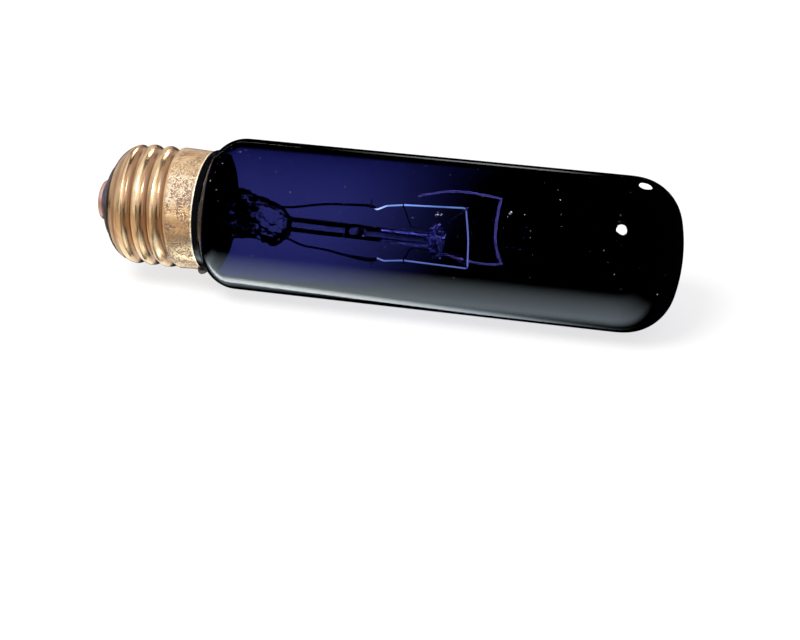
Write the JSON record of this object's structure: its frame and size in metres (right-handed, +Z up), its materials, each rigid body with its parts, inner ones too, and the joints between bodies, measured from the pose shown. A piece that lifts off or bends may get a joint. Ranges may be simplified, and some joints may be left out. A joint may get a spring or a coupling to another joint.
{
  "type": "reptile night heat bulb",
  "caption": "Tubular night heat bulb of blue-violet tinted glass with a U-shaped filament on wire supports and a rolled brass medium screw cap.",
  "frame": {"origin": "on the surface that the glass lies on, under the middle of the bulb's length", "axes": "+X along the bulb's axis from the screw cap to the dome of the glass, +Z up, -Y towards the side that faces the viewer"},
  "size_m": [0.1276, 0.0324, 0.0325],
  "materials": {
    "tinted_glass": "deep blue-violet tinted glass, glossy",
    "clear_glass": "clear lead glass",
    "tungsten": "coiled tungsten wire, lit",
    "nickel_wire": "drawn nickel wire",
    "copper_clad_wire": "copper-clad wire",
    "molybdenum_wire": "drawn molybdenum wire",
    "brass_sheet": "thin rolled brass, aged and finely pitted",
    "dark_insulator_glass": "purple-black moulded glass, glossy",
    "contact_brass": "coppery brass, worn",
    "solder": "dull tin solder",
    "basing_cement": "dark basing cement with a glossy bead",
    "dark_solder": "dark flux-covered solder"
  },
  "bodies": {
    "root": {"glass_envelope": "tinted_glass", "stem_flare": "clear_glass", "exhaust_tube": "clear_glass", "arbor_rod": "clear_glass", "filament": "tungsten", "inner_lead_upper": "nickel_wire", "inner_lead_lower": "nickel_wire", "seal_wire_upper": "copper_clad_wire", "seal_wire_lower": "copper_clad_wire", "support_wire_rear_upper": "molybdenum_wire", "support_wire_rear_lower": "molybdenum_wire", "support_wire_front_upper": "molybdenum_wire", "support_wire_front_lower": "molybdenum_wire", "centre_lead": "copper_clad_wire", "side_lead": "copper_clad_wire", "cap_shell": "brass_sheet", "insulator": "dark_insulator_glass", "contact_eyelet": "contact_brass", "contact_solder": "solder", "basing_cement": "basing_cement", "side_solder": "dark_solder"}
  },
  "joints": []
}
